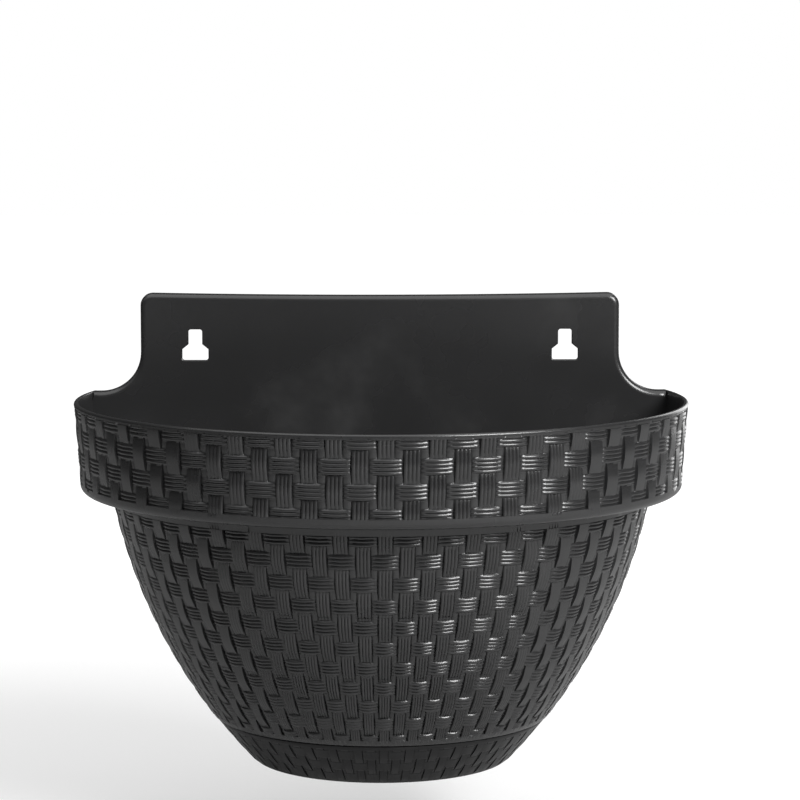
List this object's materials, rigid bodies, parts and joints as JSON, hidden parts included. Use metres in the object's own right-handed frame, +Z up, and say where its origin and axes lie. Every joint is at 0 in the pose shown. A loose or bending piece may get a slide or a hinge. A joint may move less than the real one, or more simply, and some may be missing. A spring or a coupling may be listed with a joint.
{
  "type": "wall planter",
  "caption": "Half-round wall planter in dark basket-weave plastic, with a wide rim band, a raised back plate with keyholes and a push-on drip tray.",
  "frame": {"origin": "on the wall plane, midway between the axes of the two hanging screws when the planter hangs on them", "axes": "+Z up, +Y into the wall, so the round front faces -Y, +X to the right of someone facing the front"},
  "size_m": [0.3, 0.191, 0.2269],
  "materials": {
    "pot_plastic": "satin charcoal, moulded basket weave outside, smooth inside",
    "tray_plastic": "satin charcoal, shallow moulded basket weave outside"
  },
  "bodies": {
    "pot": {"planter_pot": "pot_plastic"},
    "tray": {"drip_tray": "tray_plastic"}
  },
  "joints": [
    {"name": "tray_pull_off", "type": "slide", "parent": "pot", "child": "tray", "axis": [0, 0, -1], "range_m": [0, 0.03]}
  ]
}
